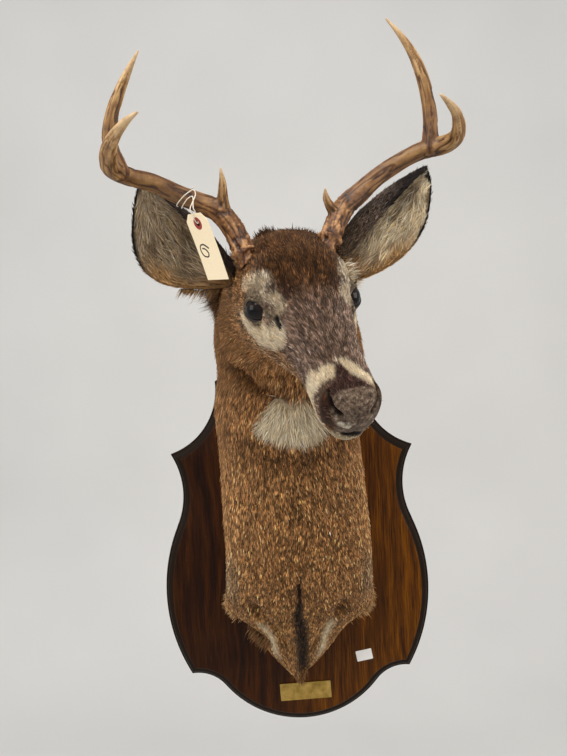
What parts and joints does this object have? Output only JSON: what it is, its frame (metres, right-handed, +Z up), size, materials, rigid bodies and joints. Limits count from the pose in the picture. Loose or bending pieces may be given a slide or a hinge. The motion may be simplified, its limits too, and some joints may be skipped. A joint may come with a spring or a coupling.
{
  "type": "deer shoulder mount",
  "caption": "Life-size deer head and shoulder taxidermy mount with antlers on a carved wooden shield board, to hang on a wall.",
  "frame": {"origin": "on the board's flat back face, midway between the four horns of the shield", "axes": "+Z up, +Y into the wall, the deer looks out along -Y and turns its head to +X, its own left"},
  "size_m": [0.4052, 0.5005, 0.9241],
  "materials": {
    "walnut_board": "dark walnut, satin lacquer, near-black moulded edge",
    "brass_plate": "thin engraved brass, lightly tarnished, left bare",
    "paper_label": "matt white adhesive paper",
    "coat": "grey-brown winter coat of a white-tailed deer, ticked, with cream throat, eye rings and muzzle band",
    "ear_coat": "short fur, dark edge and tip, pale long hair inside",
    "eye_glass": "polished dark brown glass eye",
    "antler": "golden brown antler, darker and beaded at the base, paler at elbows and tips",
    "tag_card": "matt manila card with a handwritten figure",
    "red_fibre": "matt red fibre washer",
    "cotton_string": "twisted undyed cotton"
  },
  "bodies": {
    "root": {"plaque_board": "walnut_board", "nameplate": "brass_plate", "label_sticker": "paper_label", "head": "coat", "neck": "coat", "shoulder": "coat", "eye_left": "eye_glass", "eye_right": "eye_glass", "ear_right": "ear_coat", "ear_left": "ear_coat", "antler_right_base": "antler", "antler_right_tip": "antler", "antler_right_brow_tine": "antler", "antler_right_fork_tine": "antler", "antler_left_base": "antler", "antler_left_tip": "antler", "antler_left_brow_tine": "antler", "antler_left_fork_tine": "antler", "tag_card": "tag_card", "tag_eyelet": "red_fibre", "tag_string": "cotton_string"}
  },
  "joints": []
}
